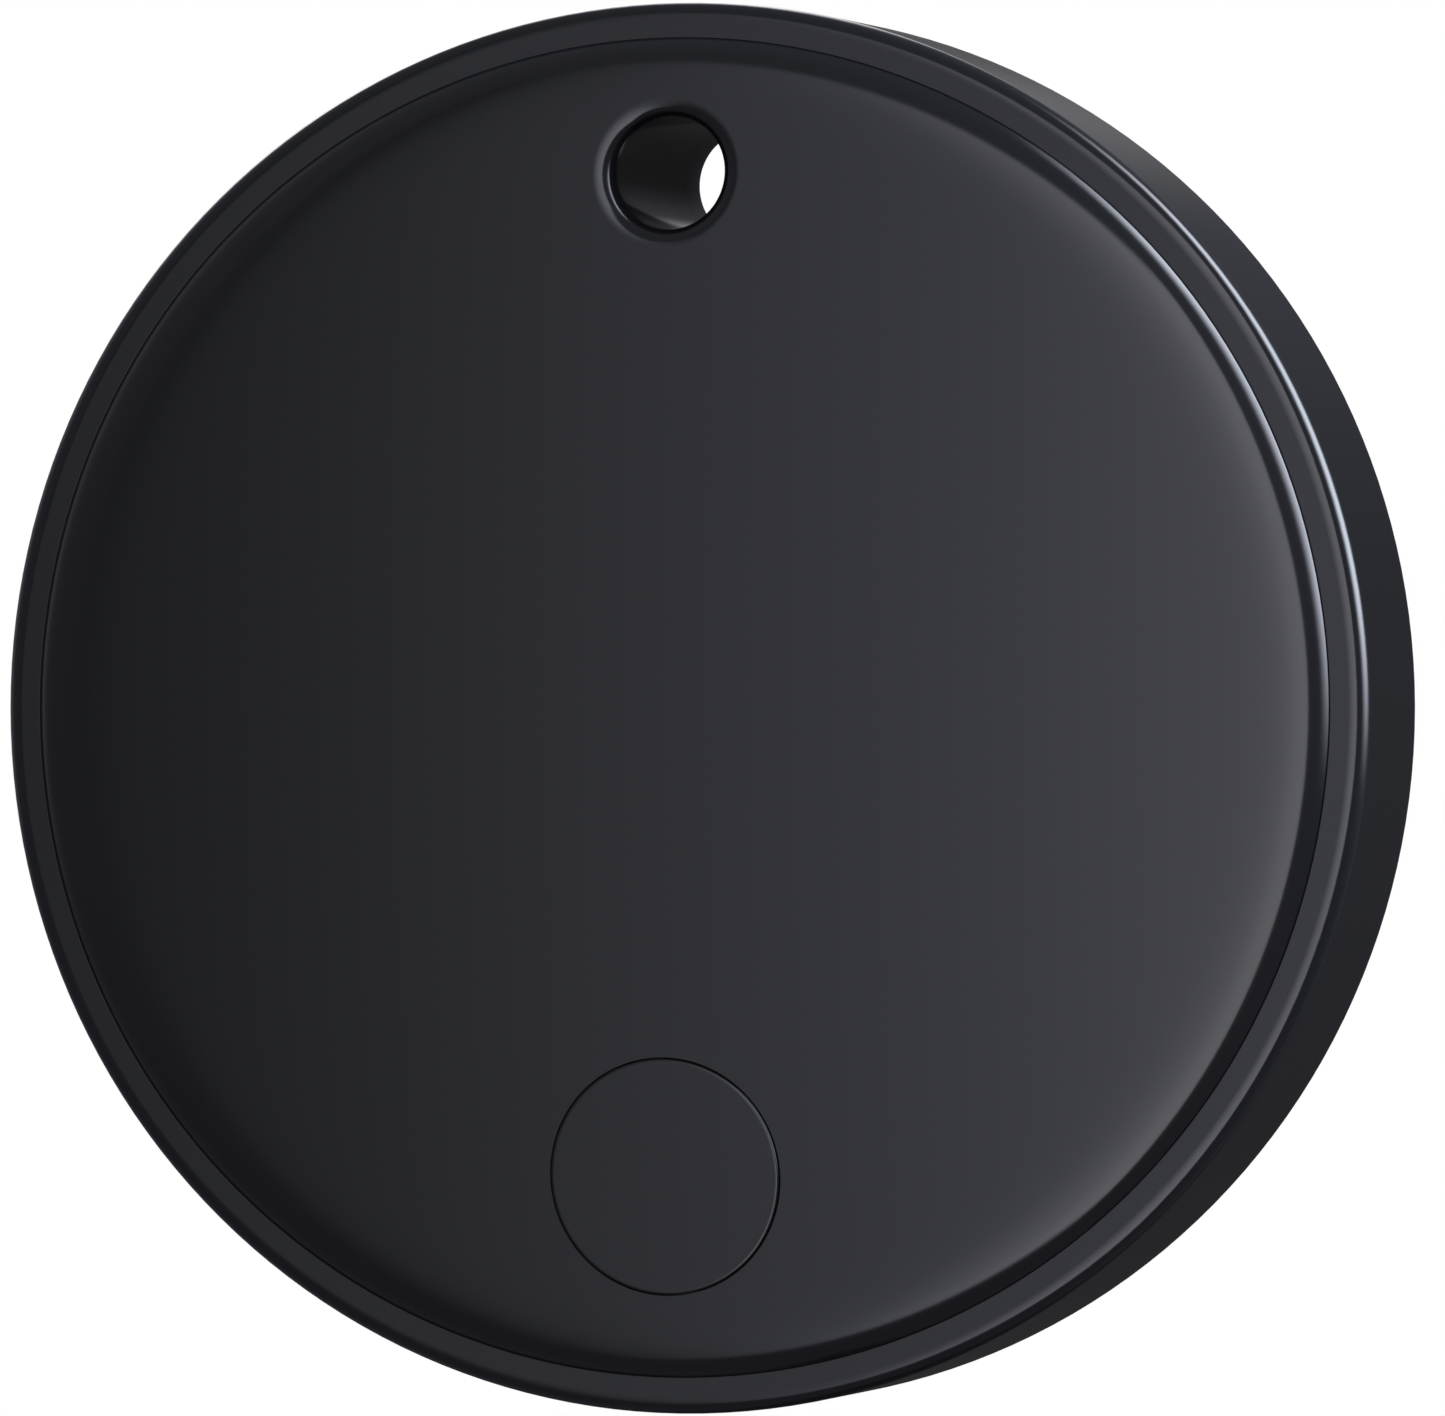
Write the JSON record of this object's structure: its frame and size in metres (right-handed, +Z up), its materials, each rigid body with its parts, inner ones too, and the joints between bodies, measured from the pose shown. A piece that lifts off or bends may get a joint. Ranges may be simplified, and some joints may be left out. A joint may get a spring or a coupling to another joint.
{
  "type": "bluetooth tracker tag",
  "caption": "Round drum-shaped tracker tag with a domed front panel, a flush push button, a keyring hole through it and a pull-off rear cover over a coin cell.",
  "frame": {"origin": "on the axis of the keyring hole, halfway through the tag's thickness", "axes": "+Z up with the tag hanging upright from its keyring hole; the front panel faces -Y and the rear cover faces +Y; +X is to the right seen from the front"},
  "size_m": [0.038, 0.0098, 0.038],
  "materials": {
    "black_plastic": "satin black with a fine even grain",
    "inner_plastic": "matt black",
    "silicone": "soft matt grey",
    "foam": "closed cell foam",
    "board": "green solder mask over fibreglass",
    "chip": "moulded epoxy",
    "ceramic": "unglazed ceramic",
    "capacitor": "fired ceramic, tinned ends",
    "steel": "bright nickel-plated steel",
    "spring_metal": "bright spring bronze",
    "brass": "bright rolled brass"
  },
  "bodies": {
    "case": {"outer_frame": "black_plastic", "front_cover": "black_plastic", "case_seal": "silicone", "keyring_seal": "silicone", "switch_base": "inner_plastic", "switch_plate": "steel", "circuit_board": "board", "bluetooth_chip": "chip", "chip_antenna": "ceramic", "crystal_main": "steel", "crystal_clock": "steel", "boost_inductor": "chip", "amplifier_chip": "chip", "capacitor_1": "capacitor", "capacitor_2": "capacitor", "capacitor_3": "capacitor", "capacitor_4": "capacitor", "resistor_1": "chip", "resistor_2": "chip", "piezo_foam_ring": "foam", "piezo_plate": "brass", "piezo_ceramic": "ceramic", "piezo_contact_inner": "spring_metal", "piezo_contact_outer": "spring_metal", "battery_carrier": "inner_plastic", "battery_contact_positive": "spring_metal", "battery_contact_negative": "spring_metal"},
    "button": {"button_cap": "black_plastic"},
    "switch_actuator": {"switch_stem": "inner_plastic", "switch_dome": "steel"},
    "rear_cover": {"rear_cover": "black_plastic", "battery_pad": "foam"},
    "battery": {"battery_can": "steel", "battery_gasket": "inner_plastic", "battery_cap": "steel"}
  },
  "joints": [
    {"name": "button_press", "type": "slide", "parent": "case", "child": "button", "axis": [0, 1, 0], "range_m": [0, 0.0002], "stiffness_N_per_m": 800},
    {"name": "switch_press", "type": "slide", "parent": "case", "child": "switch_actuator", "axis": [0, 1, 0], "range_m": [0, 0.0002]},
    {"name": "rear_cover_pull", "type": "slide", "parent": "case", "child": "rear_cover", "axis": [0, 1, 0], "range_m": [0, 0.012]},
    {"name": "battery_lift", "type": "slide", "parent": "case", "child": "battery", "axis": [0, 1, 0], "range_m": [0, 0.006]}
  ],
  "couplings": [
    {"joint": "switch_press", "follows": "button_press", "ratio": 1},
    {"joint": "battery_lift", "follows": "rear_cover_pull", "ratio": 0.5}
  ]
}
